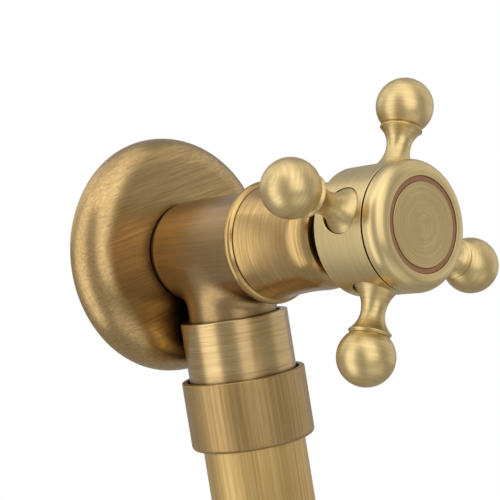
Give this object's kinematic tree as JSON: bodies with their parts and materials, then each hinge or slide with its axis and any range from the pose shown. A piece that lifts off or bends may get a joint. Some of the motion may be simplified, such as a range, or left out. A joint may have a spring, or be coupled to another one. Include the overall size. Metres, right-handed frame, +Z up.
{
  "type": "wall-mounted cross-handle shower valve with column pipe",
  "caption": "Wall-mounted shower column valve in brushed brass: round cover plate, T body, bell bonnet, cross handle with ball ends, and a column pipe held by a union nut.",
  "frame": {"origin": "on the barrel axis, in the wall plane, at the wall nipple's centre", "axes": "+Z up, +Y into the wall along the wall nipple, the barrel and handle come out towards -Y, +X to the right seen from the front"},
  "size_m": [0.0642, 0.106, 0.1981],
  "materials": {
    "brass_linear": "antique brass, brushed in straight lines",
    "brass_body": "antique brass, dark, softly brushed casting",
    "brass_turned": "antique brass, brushed round on a lathe",
    "brass_drawn": "antique brass, brushed lengthwise",
    "brass_raw": "machined brass",
    "brown_enamel": "satin brown enamel",
    "ceramic": "lapped ceramic",
    "rubber_black": "matte",
    "nylon_white": "satin",
    "ptfe_white": "waxy",
    "steel": "plain stainless steel"
  },
  "bodies": {
    "valve": {"wall_flange": "brass_linear", "flange_gasket": "rubber_black", "wall_nipple": "brass_raw", "inlet_strainer": "steel", "valve_body": "brass_body", "seat_seal": "rubber_black", "fixed_disc": "ceramic", "cartridge_housing": "brass_raw", "cartridge_gasket": "rubber_black", "thrust_washer": "ptfe_white", "collar_ring": "brass_turned", "bonnet_shroud": "brass_turned", "shroud_o_ring": "rubber_black", "adapter_sleeve": "brass_turned", "sleeve_washer": "rubber_black", "union_nut": "brass_drawn", "union_washer": "rubber_black", "retaining_ring": "brass_raw", "column_pipe": "brass_drawn", "pipe_nipple": "brass_raw"},
    "handle": {"spindle": "brass_raw", "spindle_o_rings": "rubber_black", "circlip": "steel", "handle_hub": "brass_turned", "spline_insert": "nylon_white", "handle_screw": "steel", "spoke_top": "brass_turned", "spoke_right": "brass_turned", "spoke_bottom": "brass_turned", "spoke_left": "brass_turned", "handle_cap": "brass_turned", "index_ring": "brown_enamel", "centre_disc": "brass_turned"},
    "disc": {"moving_disc": "ceramic"}
  },
  "joints": [
    {"name": "handle_turn", "type": "hinge", "parent": "valve", "child": "handle", "pos_m": [0, -0.07895, 0], "axis": [0, -1, 0], "range_deg": [0, 90]},
    {"name": "disc_turn", "type": "hinge", "parent": "valve", "child": "disc", "pos_m": [0, -0.0199, 0], "axis": [0, -1, 0], "range_deg": [0, 90]}
  ],
  "couplings": [
    {"joint": "disc_turn", "follows": "handle_turn", "ratio": 1}
  ]
}
